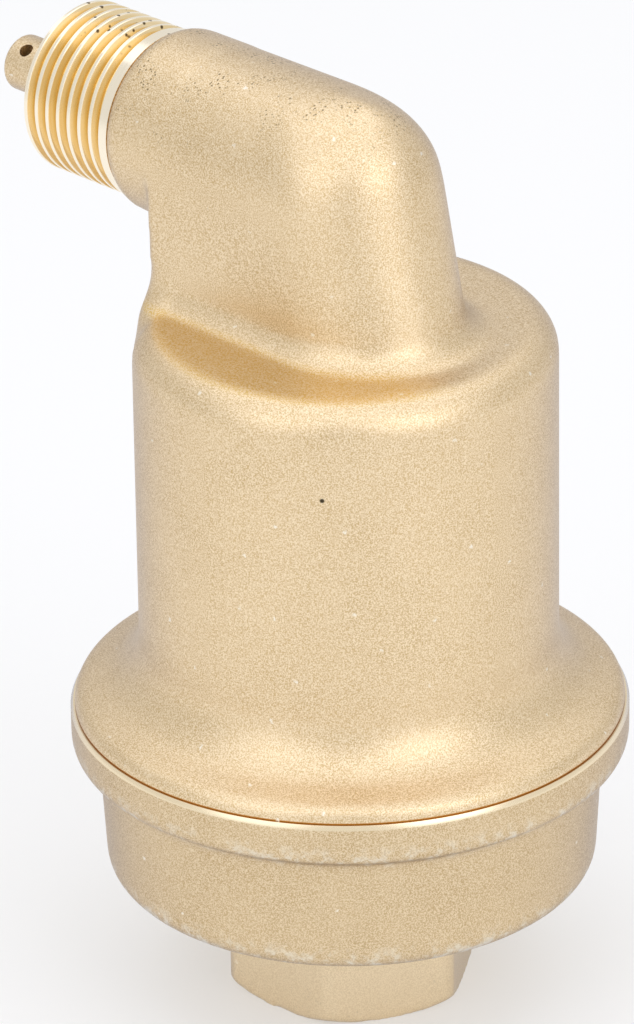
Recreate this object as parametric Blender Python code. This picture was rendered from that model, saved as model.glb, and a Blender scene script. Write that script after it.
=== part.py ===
"""Float-operated air release valve in brass, with a side spout and an inner lever valve.

The valve stands upright on the hexagon of its inlet, +Z up. The middle of its bounding box
lies over the origin and its lowest face lies on z = 0. The spout points along -X, and the
plane y = 0 is the plane of symmetry of the mechanism.
"""
import math

import bmesh
import bpy
from mathutils import Matrix, Vector

MM = 0.001

# Clearances
FACE_GAP = 0.3 * MM            # between faces that rest on each other
FIT_GAP = 0.3 * MM             # around a pin, a rod or a seal
SEAT_GAP = 0.2 * MM            # between the pad and the seat when the valve is shut
TRIM = 0.05 * MM               # keeps the faces of two cuts from lying in one plane
CUT_PAST = 1.0 * MM            # how far a cut runs past the face that it opens

# Housings, seen from outside
SEAM_HEIGHT = 37.95 * MM
FLANGE_RADIUS = 33.65 * MM
FLANGE_THICKNESS = 6.4 * MM
FLANGE_ROUND = 2.1 * MM
FLANGE_ROUND_TURN = math.radians(80)
RING_HEIGHT = 0.85 * MM        # turned chamfer round the top of the flange
RING_WIDTH = 0.65 * MM
CUP_RADIUS = 30.4 * MM
CUP_DRAFT = 0.7 * MM
CUP_CORNER = 2.6 * MM
CUP_NECK_ROUND = 1.0 * MM      # fillet under the flange
CUP_CONE = math.radians(10.6)
CUP_CONE_START = 15.2 * MM     # radius at which the cone leaves the hexagon
HEX_HEIGHT = 13.35 * MM
HEX_ACROSS_FLATS = 27.7 * MM
HEX_TURN = math.radians(-57.0)
HEX_FACE_RADIUS = 13.95 * MM   # flat end face
HEX_TURNED_RADIUS = 15.6 * MM  # turned-off corners
HEX_CHAMFER_SLOPE = math.radians(33.0)
HEX_ROOT = 3.0 * MM            # how far the hexagon is sunk into the cup's cone
SKIRT_RADIUS = 32.5 * MM
SKIRT_ROUND = 1.5 * MM
SKIRT_SLOPE = math.radians(62.0)
SKIRT_FILLET = 7.0 * MM
SKIRT_RISE = 9.0 * MM
BODY_RADIUS = 25.2 * MM
SHOULDER_HEIGHT = 87.15 * MM
SHOULDER_ROUND = 4.0 * MM

# Housings, inside
CHAMBER_RADIUS = 22.0 * MM
ROOF_THICKNESS = 3.2 * MM
ROOF_FILLET = 2.5 * MM
SPIGOT_WALL = 4.0 * MM
SPIGOT_CHAMFER = 0.8 * MM
LEDGE_HEIGHT = 24.7 * MM
LEDGE_WIDTH = 2.2 * MM
FLOOR_HEIGHT = 17.3 * MM
FLOOR_FILLET = 3.0 * MM
INLET_RADIUS = 9.32 * MM       # G1/2 inside thread, minor radius
INLET_CHAMFER = 1.2 * MM
BODY_SEAL_RADIUS = 1.0 * MM    # half the thickness of the ring

# Neck block and spout
SPOUT_RISE = 17.6 * MM         # of the spout's axis above the shoulder
NECK_HALF_WIDTH = 11.6 * MM
NECK_SIDE_DRAFT = 0.012
NECK_TOP_RADIUS = 11.34 * MM
NECK_END_CENTRE = 4.6 * MM
NECK_END_TAPER = math.radians(12.75)
NECK_END_ROUND = 8.7 * MM
NECK_BACK_RADIUS = 24.2 * MM
NECK_FILLET = 3.0 * MM
NECK_FOOT_HEIGHT = 8.0 * MM    # top of the part of the neck that the fillet bends
NECK_HEAD_HEIGHT = 4.0 * MM    # start of the neck's head, below the spout's axis
SPOUT_ROOT_RADIUS = 11.1 * MM
SPOUT_ROOT_END = 17.0 * MM
SPOUT_RADIUS = 11.4 * MM
SPOUT_START = 20.5 * MM
SPOUT_ROUND = 2.0 * MM
SPOUT_COLLAR_RADIUS = 10.6 * MM
SPOUT_END = 29.5 * MM          # distance of the casting's end from the vessel axis
THREAD_RADIUS = 10.478 * MM    # G1/2 outside thread, major radius
THREAD_LENGTH = 14.3 * MM
THREAD_CHAMFER = 0.45 * MM
NIPPLE_RADIUS = 3.45 * MM
NIPPLE_LENGTH = 10.2 * MM
NIPPLE_ROUND = 0.6 * MM
VENT_RADIUS = 1.5 * MM
CROSS_HOLE_RADIUS = 0.9 * MM
CROSS_HOLE_INSET = 2.75 * MM
CROSS_HOLE_TILT = math.radians(55.0)
NECK_CAVITY_RADIUS = 8.2 * MM
NECK_CAVITY_CENTRE = 11.0 * MM
NECK_CAVITY_DROP = 5.0 * MM    # of the cavity's roof below the spout's axis

# Seat insert and its bracket
SEAT_OFFSET = 8.0 * MM         # from the vessel axis towards the spout
SEAT_SHANK_RADIUS = 2.9 * MM
SEAT_SHANK_LENGTH = 4.2 * MM
SEAT_SHANK_CHAMFER = 0.5 * MM
SEAT_ACROSS_FLATS = 8.0 * MM
SEAT_HEX_HEIGHT = 2.0 * MM
SEAT_LIP_HEIGHT = 1.0 * MM
SEAT_LIP_ROOT_RADIUS = 2.2 * MM
SEAT_LIP_RADIUS = 1.6 * MM
SEAT_BORE_RADIUS = 0.9 * MM
SEAT_SEAL_RADIUS = 0.55 * MM
SHEET = 0.8 * MM               # thickness of the bracket's steel
BRACKET_BEND = 0.8 * MM
BRACKET_EDGE = 5.5 * MM        # plate beyond the seat, towards the float

# Lever, pins and pad
LEVER_LENGTH = 15.0 * MM       # pivot to the float's pin
PAD_DISTANCE = 7.0 * MM        # pivot to the middle of the pad
LEVER_SWING = math.radians(20.0)
LEVER_THICKNESS = 2.6 * MM
KNUCKLE_RADIUS = 2.4 * MM
KNUCKLE_WIDTH = 6.2 * MM
PIN_RADIUS = 1.0 * MM
PIN_HEAD_RADIUS = 1.8 * MM
PIN_HEAD = 0.8 * MM
CLIP_THICKNESS = 0.6 * MM
CLIP_WIDTH = 1.0 * MM
LEVER_EYE_WALL = 1.3 * MM
PAD_CUP_RADIUS = 3.2 * MM
PAD_CUP_DEPTH = 1.6 * MM
PAD_RADIUS = 2.3 * MM
PAD_THICKNESS = 1.9 * MM
PAD_EDGE = 0.3 * MM
PAD_RISE = 2.4 * MM            # top of the pad above the line between the pins

# Float and its rod
FLOAT_RADIUS = 19.5 * MM
FLOAT_WALL = 1.0 * MM
FLOAT_TUBE_WALL = 1.2 * MM
FLOAT_EDGE = 2.0 * MM
FLOAT_LID = 1.5 * MM
FLOAT_LID_RIB = 2.0 * MM
ROD_RADIUS = 1.5 * MM
ROD_TAIL = 8.0 * MM            # below the ledge of the baffle plate
ROD_CHAMFER = 0.4 * MM
NUT_ACROSS_FLATS = 5.5 * MM
NUT_HEIGHT = 2.0 * MM
WASHER_RADIUS = 4.5 * MM
WASHER_THICKNESS = 0.8 * MM
YOKE_HALF_LENGTH = 2.6 * MM
YOKE_WALL = 1.8 * MM
YOKE_RISE = 2.4 * MM
YOKE_SLOT_DEPTH = 4.4 * MM
YOKE_HUB = 4.0 * MM
YOKE_FLOOR = 1.0 * MM          # between the fork's slot and the rod's end
YOKE_GAP = 0.4 * MM            # between the fork and the nut
ROD_CLIP_RADIUS = 4.0 * MM

# Baffle plate and the bush that guides the rod
PLATE_THICKNESS = 1.0 * MM
BUSH_WALL = 1.4 * MM
BUSH_FLANGE = 1.3 * MM
BUSH_FLANGE_THICKNESS = 0.8 * MM
BUSH_TAIL = 1.5 * MM
PLATE_HOLE_RADIUS = 4.0 * MM
PLATE_HOLE_CIRCLE = 12.5 * MM
PLATE_HOLE_COUNT = 6

# Fineness of the round surfaces
HOUSING_STEPS = 60
SPOUT_STEPS = 40
FLOAT_STEPS = 32
SMALL_STEPS = 24
PIN_STEPS = 16
SEAL_STEPS = 8
ARC_STEPS = 5
BEND_STEPS = 10                # half circles in flat outlines
SLOT_STEPS = 12                # ends of the neck and of its cavity
EYE_STEPS = 8                  # ends of the lever's slot
NECK_BACK_STEPS = 6
NECK_FOOT_STEPS = 4
NECK_CROWN_STEPS = 6
CORNER_STEPS = 4               # corners of the hexagons and the flange's lower edge
CHAMFER_STEPS = 3
SMOOTH_LIMIT = math.radians(32.0)

# Places that follow from the sizes above
SPOUT_HEIGHT = SHOULDER_HEIGHT + SPOUT_RISE
NECK_CAVITY_ROOF = SPOUT_HEIGHT - NECK_CAVITY_DROP
VESSEL_X = (SPOUT_END + THREAD_LENGTH + NIPPLE_LENGTH - FLANGE_RADIUS) / 2
SPIGOT_RADIUS = CHAMBER_RADIUS + SPIGOT_WALL
SPIGOT_END = LEDGE_HEIGHT + PLATE_THICKNESS + 2 * FACE_GAP
CUP_BORE = SPIGOT_RADIUS + FIT_GAP
SEAL_POCKET = 2 * (BODY_SEAL_RADIUS + FIT_GAP)
ROOF_HEIGHT = SHOULDER_HEIGHT - ROOF_THICKNESS
THREAD_FACE = SPOUT_END + THREAD_LENGTH
NIPPLE_END = THREAD_FACE + NIPPLE_LENGTH
NECK_TOP = SPOUT_HEIGHT + NECK_TOP_RADIUS
BRACKET_TOP = NECK_CAVITY_ROOF - FACE_GAP
SEAT_HEX_TOP = BRACKET_TOP - SHEET - FACE_GAP
SEAT_LIP = SEAT_HEX_TOP - SEAT_HEX_HEIGHT - SEAT_LIP_HEIGHT
PIVOT_HEIGHT = SEAT_LIP - SEAT_GAP - PAD_RISE
PIVOT_X = -SEAT_OFFSET - PAD_DISTANCE
LINK_X = PIVOT_X + LEVER_LENGTH
FLOAT_LIFT = LEVER_LENGTH * math.tan(LEVER_SWING)
LINK_HEIGHT = PIVOT_HEIGHT - FLOAT_LIFT
PIN_BORE = PIN_RADIUS + FIT_GAP
ROD_BORE = ROD_RADIUS + FIT_GAP
EAR_INSIDE = KNUCKLE_WIDTH / 2 + FIT_GAP
PLATE_BOTTOM = LEDGE_HEIGHT + FACE_GAP
PLATE_TOP = PLATE_BOTTOM + PLATE_THICKNESS
BUSH_TOP = PLATE_TOP + FACE_GAP + BUSH_FLANGE_THICKNESS
BUSH_RADIUS = ROD_BORE + BUSH_WALL
ROD_CLIP_BOTTOM = BUSH_TOP + FACE_GAP
FLOAT_BOTTOM = ROD_CLIP_BOTTOM + CLIP_THICKNESS + FACE_GAP
YOKE_BOTTOM = LINK_HEIGHT - YOKE_SLOT_DEPTH - YOKE_HUB
NUT_BOTTOM = YOKE_BOTTOM - YOKE_GAP - NUT_HEIGHT
WASHER_BOTTOM = NUT_BOTTOM - FACE_GAP - WASHER_THICKNESS
FLOAT_TOP = WASHER_BOTTOM - FACE_GAP
YOKE_SLOT = LEVER_THICKNESS / 2 + FIT_GAP
YOKE_HALF_WIDTH = YOKE_SLOT + YOKE_WALL


def clear_scene():
    for old in list(bpy.data.objects):
        bpy.data.objects.remove(old, do_unlink=True)


def make_material(name, colour, roughness, metallic):
    material = bpy.data.materials.new(name)
    material.use_nodes = True
    shader = material.node_tree.nodes["Principled BSDF"]
    shader.inputs["Base Color"].default_value = (*colour, 1.0)
    shader.inputs["Roughness"].default_value = roughness
    shader.inputs["Metallic"].default_value = metallic
    return material


def add_object(name, mesh_data, material=None, parent=None, location=(0.0, 0.0, 0.0)):
    """Turn a bmesh into a scene object with outward faces and smooth round sides."""
    bmesh.ops.remove_doubles(mesh_data, verts=mesh_data.verts, dist=1e-7)
    bmesh.ops.recalc_face_normals(mesh_data, faces=mesh_data.faces)
    mesh = bpy.data.meshes.new(name)
    mesh_data.to_mesh(mesh)
    mesh_data.free()
    mesh.shade_smooth()
    mesh.set_sharp_from_angle(angle=SMOOTH_LIMIT)
    piece = bpy.data.objects.new(name, mesh)
    bpy.context.scene.collection.objects.link(piece)
    piece.location = location
    piece.parent = parent
    if material is not None:
        mesh.materials.append(material)
    return piece


def add_empty(name, location, parent=None):
    empty = bpy.data.objects.new(name, None)
    bpy.context.scene.collection.objects.link(empty)
    empty.location = location
    empty.parent = parent
    return empty


def arc(centre, radius, start, end, steps=ARC_STEPS):
    """Points of a circular arc in a profile, from one angle to another."""
    angles = [start + (end - start) * step / steps for step in range(steps + 1)]
    return [(centre[0] + radius * math.cos(a), centre[1] + radius * math.sin(a)) for a in angles]


def turned(profile, steps=SMALL_STEPS, closed=True):
    """Spin a profile of (radius, height) points round the Z axis."""
    data = bmesh.new()
    points = [data.verts.new((radius, 0.0, height)) for radius, height in profile]
    edges = [data.edges.new(pair) for pair in zip(points, points[1:])]
    if closed:
        edges.append(data.edges.new((points[-1], points[0])))
    bmesh.ops.spin(data, geom=points + edges, cent=(0, 0, 0), axis=(0, 0, 1),
                   angle=2 * math.pi, steps=steps, use_merge=True)
    bmesh.ops.remove_doubles(data, verts=data.verts, dist=1e-7)
    return data


def lofted(sections):
    """Skin a list of outlines that have the same number of points, and cap both ends."""
    data = bmesh.new()
    rings = [[data.verts.new(point) for point in outline] for outline in sections]
    for lower, upper in zip(rings, rings[1:]):
        for i in range(len(lower)):
            j = (i + 1) % len(lower)
            data.faces.new((lower[i], lower[j], upper[j], upper[i]))
    data.faces.new(list(reversed(rings[0])))
    data.faces.new(rings[-1])
    return data


def plate(outline, half_width):
    """Extrude an outline of (x, z) points to both sides of the plane y = 0."""
    return lofted([[(x, side * half_width, z) for x, z in outline] for side in (-1, 1)])


def aimed(data, direction, place=(0.0, 0.0, 0.0)):
    """Turn a shape made along +Z so that it points along a direction, then move it."""
    turn = Vector((0, 0, 1)).rotation_difference(Vector(direction)).to_matrix().to_4x4()
    bmesh.ops.transform(data, matrix=Matrix.Translation(place) @ turn, verts=data.verts)
    return data


def rod_shape(radius, start, end, steps=PIN_STEPS, chamfer=0.0):
    """A solid round bar along Z, with chamfered ends if asked."""
    profile = [(0, start), (radius - chamfer, start)]
    if chamfer:
        profile += [(radius, start + chamfer), (radius, end - chamfer)]
    profile += [(radius - chamfer, end), (0, end)]
    return turned(profile, steps, closed=False)


def ring_shape(inner, outer, bottom, top, steps=SMALL_STEPS):
    return turned([(inner, bottom), (outer, bottom), (outer, top), (inner, top)], steps)


def seal_shape(middle, thickness, height, steps):
    """A ring of round section."""
    section = arc((middle, height), thickness, 0, 2 * math.pi, SEAL_STEPS)[:-1]
    return turned(section, steps)


def turned_hexagon(across_flats, radius, height, turn):
    """A hexagon whose corners are turned off to a radius."""
    half = math.pi / 6 - math.acos(across_flats / 2 / radius)
    outline = []
    for k in range(6):
        middle = turn + math.pi / 3 * k
        outline += arc((0, 0), radius, middle - half, middle + half, CORNER_STEPS)
    return [(x, y, height) for x, y in outline]


def hexagon(across_flats, height, turn=0.0):
    corner = across_flats / 2 / math.cos(math.pi / 6)
    angles = [turn + math.pi / 3 * k for k in range(6)]
    return [(corner * math.cos(a), corner * math.sin(a), height) for a in angles]


def slot_outline(left, right, radius, steps=SLOT_STEPS):
    """A straight slot with round ends, as (x, y) points."""
    return (arc((right, 0), radius, -math.pi / 2, math.pi / 2, steps)
            + arc((left, 0), radius, math.pi / 2, 3 * math.pi / 2, steps))


def combine(target, data, operation, name, parent=None):
    """Add a Boolean modifier with a hidden operand, which is handed back."""
    tool = add_object(name, data, parent=parent)
    tool.hide_render = True
    tool.display_type = 'WIRE'
    modifier = target.modifiers.new(name, 'BOOLEAN')
    modifier.operation = operation
    modifier.solver = 'EXACT'
    modifier.object = tool
    return tool


def upper_profile():
    """Outline of the upper housing's turned form, from the roof inside to the top outside."""
    brim = SEAM_HEIGHT + FACE_GAP
    slope = SKIRT_SLOPE
    convex = arc((SKIRT_RADIUS - SKIRT_ROUND, brim), SKIRT_ROUND, 0, slope)
    fillet_centre = (BODY_RADIUS + SKIRT_FILLET, SEAM_HEIGHT + SKIRT_RISE)
    concave = arc(fillet_centre, SKIRT_FILLET, math.pi + slope, math.pi)
    shoulder_centre = (BODY_RADIUS - SHOULDER_ROUND, SHOULDER_HEIGHT - SHOULDER_ROUND)
    shoulder = arc(shoulder_centre, SHOULDER_ROUND, 0, math.pi / 2)
    roof_centre = (CHAMBER_RADIUS - ROOF_FILLET, ROOF_HEIGHT - ROOF_FILLET)
    inner = [(0, ROOF_HEIGHT)] + arc(roof_centre, ROOF_FILLET, math.pi / 2, 0)
    spigot = [(CHAMBER_RADIUS, SPIGOT_END),
              (SPIGOT_RADIUS - SPIGOT_CHAMFER, SPIGOT_END),
              (SPIGOT_RADIUS, SPIGOT_END + SPIGOT_CHAMFER),
              (SPIGOT_RADIUS, brim)]
    return inner + spigot + convex + concave + shoulder + [(0, SHOULDER_HEIGHT)]


def neck_outline(height, with_foot):
    """Plan outline of the neck block at one height: round end, flat sides, back on the body."""
    width = NECK_HALF_WIDTH - NECK_SIDE_DRAFT * (height - SHOULDER_HEIGHT)
    if height > SPOUT_HEIGHT:
        width = math.sqrt(NECK_TOP_RADIUS ** 2 - (height - SPOUT_HEIGHT) ** 2)
    taper = (height - SHOULDER_HEIGHT) * math.tan(NECK_END_TAPER)
    end = NECK_END_CENTRE + NECK_HALF_WIDTH - taper
    crown = height - (NECK_TOP - NECK_END_ROUND)
    if crown > 0:
        end -= NECK_END_ROUND - math.sqrt(max(NECK_END_ROUND ** 2 - crown ** 2, 0.0))
    foot = SHOULDER_HEIGHT + NECK_FILLET - height
    if foot > 0 and with_foot:
        flare = NECK_FILLET - math.sqrt(max(NECK_FILLET ** 2 - foot ** 2, 0.0))
        width += flare
        end += flare
    reach = math.asin(min(width / NECK_BACK_RADIUS, 1.0))
    back = arc((0, 0), NECK_BACK_RADIUS, math.pi - reach, math.pi + reach, NECK_BACK_STEPS)
    front = arc((end - width, 0), width, -math.pi / 2, math.pi / 2, SLOT_STEPS)
    return [(x, y, height) for x, y in front + back]


def neck_heights():
    """Heights of the outlines, close together where the form curves."""
    quarter = math.pi / 2
    foot = [SHOULDER_HEIGHT + NECK_FILLET * (1 - math.cos(quarter * step / NECK_FOOT_STEPS))
            for step in range(NECK_FOOT_STEPS + 1)]
    side = [SHOULDER_HEIGHT + NECK_FOOT_HEIGHT, SPOUT_HEIGHT - NECK_HEAD_HEIGHT, SPOUT_HEIGHT]
    crown = [SPOUT_HEIGHT
             + NECK_TOP_RADIUS * math.sin(quarter * step / (NECK_CROWN_STEPS + 1))
             for step in range(1, NECK_CROWN_STEPS + 1)]
    return foot + side + crown + [NECK_TOP - TRIM]


def make_upper_housing(material, vessel):
    housing = add_object("upper_housing", turned(upper_profile(), HOUSING_STEPS, closed=False),
                         material, vessel)
    sunk = [(x, y, SHOULDER_HEIGHT - ROOF_THICKNESS / 2)
            for x, y, _ in neck_outline(SHOULDER_HEIGHT + NECK_FILLET, False)]
    outlines = [neck_outline(height, True) for height in neck_heights()]
    combine(housing, lofted([sunk] + outlines), 'UNION', "neck_block", vessel)
    round_angle = math.acos(1 - (SPOUT_RADIUS - SPOUT_COLLAR_RADIUS) / SPOUT_ROUND)
    spout = [(0, 0), (SPOUT_ROOT_RADIUS, 0), (SPOUT_ROOT_RADIUS, SPOUT_ROOT_END),
             (SPOUT_RADIUS, SPOUT_START)]
    spout += arc((SPOUT_RADIUS - SPOUT_ROUND, SPOUT_END - SPOUT_ROUND), SPOUT_ROUND,
                 0, round_angle)
    spout += [(SPOUT_COLLAR_RADIUS, SPOUT_END), (THREAD_RADIUS, SPOUT_END),
              (THREAD_RADIUS, THREAD_FACE - THREAD_CHAMFER),
              (THREAD_RADIUS - THREAD_CHAMFER, THREAD_FACE), (NIPPLE_RADIUS, THREAD_FACE)]
    spout += arc((NIPPLE_RADIUS - NIPPLE_ROUND, NIPPLE_END - NIPPLE_ROUND), NIPPLE_ROUND,
                 0, math.pi / 2)
    spout += [(0, NIPPLE_END)]
    along = (-1, 0, 0)
    axis = (0, 0, SPOUT_HEIGHT)
    combine(housing, aimed(turned(spout, SPOUT_STEPS, closed=False), along, axis),
            'UNION', "spout", vessel)
    cavity = slot_outline(-NECK_CAVITY_CENTRE, 0, NECK_CAVITY_RADIUS)
    heights = (ROOF_HEIGHT - CUT_PAST, NECK_CAVITY_ROOF)
    combine(housing, lofted([[(x, y, z) for x, y in cavity] for z in heights]),
            'DIFFERENCE', "neck_cavity", vessel)
    seal_recess = SEAT_SHANK_RADIUS + 2 * (SEAT_SEAL_RADIUS + FIT_GAP)
    recess_depth = 2 * (SEAT_SEAL_RADIUS + FACE_GAP)
    shank_bore = SEAT_SHANK_RADIUS + FIT_GAP
    well_depth = SPOUT_HEIGHT - NECK_CAVITY_ROOF + VENT_RADIUS / 3
    well = [(0, -CUT_PAST), (seal_recess, -CUT_PAST), (seal_recess, recess_depth),
            (shank_bore, recess_depth), (shank_bore, well_depth), (0, well_depth)]
    combine(housing, aimed(turned(well, SMALL_STEPS, closed=False), (0, 0, 1),
                           (-SEAT_OFFSET, 0, NECK_CAVITY_ROOF)),
            'DIFFERENCE', "seat_well", vessel)
    vent = rod_shape(VENT_RADIUS, SEAT_OFFSET, NIPPLE_END + CUT_PAST)
    bore = combine(housing, aimed(vent, along, axis), 'DIFFERENCE', "vent_bore", vessel)
    across = (0, -math.cos(CROSS_HOLE_TILT), math.sin(CROSS_HOLE_TILT))
    cross = rod_shape(CROSS_HOLE_RADIUS, 0, 2 * NIPPLE_RADIUS)
    combine(bore, aimed(cross, across, (CROSS_HOLE_INSET - NIPPLE_END, 0, SPOUT_HEIGHT)),
            'UNION', "cross_hole", vessel)


def lower_profile():
    """Outline of the lower housing's turned form, a closed loop round its wall."""
    flange_bottom = SEAM_HEIGHT - FLANGE_THICKNESS
    floor_corner = CUP_BORE - LEDGE_WIDTH
    core = INLET_RADIUS - CUT_PAST
    inside = [(core, HEX_HEIGHT - HEX_ROOT), (core, FLOOR_HEIGHT)]
    inside += arc((floor_corner - FLOOR_FILLET, FLOOR_HEIGHT + FLOOR_FILLET), FLOOR_FILLET,
                  -math.pi / 2, 0)
    inside += [(floor_corner, LEDGE_HEIGHT), (CUP_BORE, LEDGE_HEIGHT),
               (CUP_BORE, SEAM_HEIGHT - SEAL_POCKET),
               (SPIGOT_RADIUS + SEAL_POCKET, SEAM_HEIGHT - SEAL_POCKET),
               (SPIGOT_RADIUS + SEAL_POCKET, SEAM_HEIGHT)]
    flange = [(FLANGE_RADIUS - RING_WIDTH, SEAM_HEIGHT),
              (FLANGE_RADIUS, SEAM_HEIGHT - RING_HEIGHT)]
    flange += arc((FLANGE_RADIUS - FLANGE_ROUND, flange_bottom + FLANGE_ROUND), FLANGE_ROUND,
                  0, -FLANGE_ROUND_TURN, CORNER_STEPS)
    foot_radius = CUP_RADIUS - CUP_DRAFT
    tilt = math.pi / 2 - CUP_CONE
    corner_x = foot_radius - CUP_CORNER
    corner_z = (HEX_HEIGHT + (corner_x - CUP_CONE_START) * math.tan(CUP_CONE)
                + CUP_CORNER / math.cos(CUP_CONE))
    cup = [(CUP_RADIUS + CUP_NECK_ROUND / 3, flange_bottom - CUP_NECK_ROUND / 10),
           (CUP_RADIUS, flange_bottom - CUP_NECK_ROUND)]
    cup += arc((corner_x, corner_z), CUP_CORNER, 0, -tilt)
    cup += [(CUP_CONE_START - HEX_ROOT, HEX_HEIGHT - HEX_ROOT)]
    return inside + flange + cup


def make_lower_housing(material, vessel):
    housing = add_object("lower_housing", turned(lower_profile(), HOUSING_STEPS),
                         material, vessel)
    outlines = []
    for step in range(CHAMFER_STEPS + 1):
        radius = (HEX_FACE_RADIUS
                  + (HEX_TURNED_RADIUS - HEX_FACE_RADIUS) * step / CHAMFER_STEPS)
        height = (radius - HEX_FACE_RADIUS) * math.tan(HEX_CHAMFER_SLOPE)
        outlines.append(turned_hexagon(HEX_ACROSS_FLATS, radius, height, HEX_TURN))
    outlines.append(turned_hexagon(HEX_ACROSS_FLATS, HEX_TURNED_RADIUS,
                                   HEX_HEIGHT + HEX_ROOT / 2, HEX_TURN))
    combine(housing, lofted(outlines), 'UNION', "inlet_hexagon", vessel)
    bore_top = FLOOR_HEIGHT + CUT_PAST
    bore = [(0, -CUT_PAST), (INLET_RADIUS + INLET_CHAMFER + CUT_PAST, -CUT_PAST),
            (INLET_RADIUS, INLET_CHAMFER), (INLET_RADIUS, bore_top), (0, bore_top)]
    combine(housing, turned(bore, SPOUT_STEPS, closed=False), 'DIFFERENCE', "inlet_bore", vessel)


def make_body_seal(material, vessel):
    middle = SPIGOT_RADIUS + FIT_GAP + BODY_SEAL_RADIUS
    height = SEAM_HEIGHT - FACE_GAP - BODY_SEAL_RADIUS
    add_object("body_seal_ring", seal_shape(middle, BODY_SEAL_RADIUS, height, FLOAT_STEPS),
               material, vessel)


def make_baffle(material, bush_material, vessel):
    outer = CUP_BORE - FIT_GAP
    centre = BUSH_RADIUS + FIT_GAP
    disc = add_object("baffle_plate",
                      ring_shape(centre, outer, PLATE_BOTTOM, PLATE_TOP, FLOAT_STEPS),
                      material, vessel)
    for number in range(PLATE_HOLE_COUNT):
        angle = 2 * math.pi * number / PLATE_HOLE_COUNT
        place = (PLATE_HOLE_CIRCLE * math.cos(angle), PLATE_HOLE_CIRCLE * math.sin(angle),
                 PLATE_BOTTOM)
        hole = aimed(rod_shape(PLATE_HOLE_RADIUS, -CUT_PAST, PLATE_THICKNESS + CUT_PAST), (0, 0, 1), place)
        combine(disc, hole, 'DIFFERENCE', "baffle_hole_%d" % (number + 1), vessel)
    flange = BUSH_RADIUS + BUSH_FLANGE
    bush = [(ROD_BORE, PLATE_BOTTOM - BUSH_TAIL), (BUSH_RADIUS, PLATE_BOTTOM - BUSH_TAIL),
            (BUSH_RADIUS, PLATE_TOP + FACE_GAP), (flange, PLATE_TOP + FACE_GAP),
            (flange, BUSH_TOP), (ROD_BORE, BUSH_TOP)]
    add_object("rod_guide_bush", turned(bush, SMALL_STEPS), bush_material, vessel)


def make_seat(brass, rubber, vessel):
    """Screw-in seat with a hexagon, and the small ring that seals its shank."""
    mount = add_empty("seat_axis", (-SEAT_OFFSET, 0, 0), vessel)
    hex_bottom = SEAT_HEX_TOP - SEAT_HEX_HEIGHT
    shank_start = hex_bottom + SEAT_HEX_HEIGHT / 2
    shank_top = NECK_CAVITY_ROOF + SEAT_SHANK_LENGTH
    stem = [(0, SEAT_LIP), (SEAT_LIP_RADIUS, SEAT_LIP),
            (SEAT_LIP_ROOT_RADIUS, hex_bottom), (SEAT_LIP_ROOT_RADIUS, shank_start),
            (SEAT_SHANK_RADIUS, shank_start), (SEAT_SHANK_RADIUS, shank_top - SEAT_SHANK_CHAMFER),
            (SEAT_SHANK_RADIUS - SEAT_SHANK_CHAMFER, shank_top), (0, shank_top)]
    seat = add_object("valve_seat", turned(stem, closed=False), brass, mount)
    turn = math.pi / 6
    block = lofted([hexagon(SEAT_ACROSS_FLATS, z, turn) for z in (hex_bottom, SEAT_HEX_TOP)])
    combine(seat, block, 'UNION', "seat_hexagon", mount)
    bore = rod_shape(SEAT_BORE_RADIUS, SEAT_LIP - CUT_PAST, shank_top + CUT_PAST)
    combine(seat, bore, 'DIFFERENCE', "seat_bore", mount)
    middle = SEAT_SHANK_RADIUS + FIT_GAP + SEAT_SEAL_RADIUS
    height = NECK_CAVITY_ROOF + FACE_GAP + SEAT_SEAL_RADIUS
    add_object("seat_seal_ring", seal_shape(middle, SEAT_SEAL_RADIUS, height, PIN_STEPS),
               rubber, mount)


def bracket_section():
    """Bent sheet seen along X: a flat top and two ears, as (y, z) points."""
    outside = EAR_INSIDE + SHEET
    ear_end = PIVOT_HEIGHT - KNUCKLE_RADIUS
    outer_bend = BRACKET_BEND + SHEET
    right = [(outside, ear_end)]
    right += arc((outside - outer_bend, BRACKET_TOP - outer_bend), outer_bend, 0, math.pi / 2)
    inner = arc((EAR_INSIDE - BRACKET_BEND, BRACKET_TOP - outer_bend), BRACKET_BEND,
                math.pi / 2, 0)
    outer_path = right + [(-y, z) for y, z in reversed(right)]
    inner_path = inner + [(EAR_INSIDE, ear_end)]
    return outer_path + [(-y, z) for y, z in reversed(inner_path)] + inner_path


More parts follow.
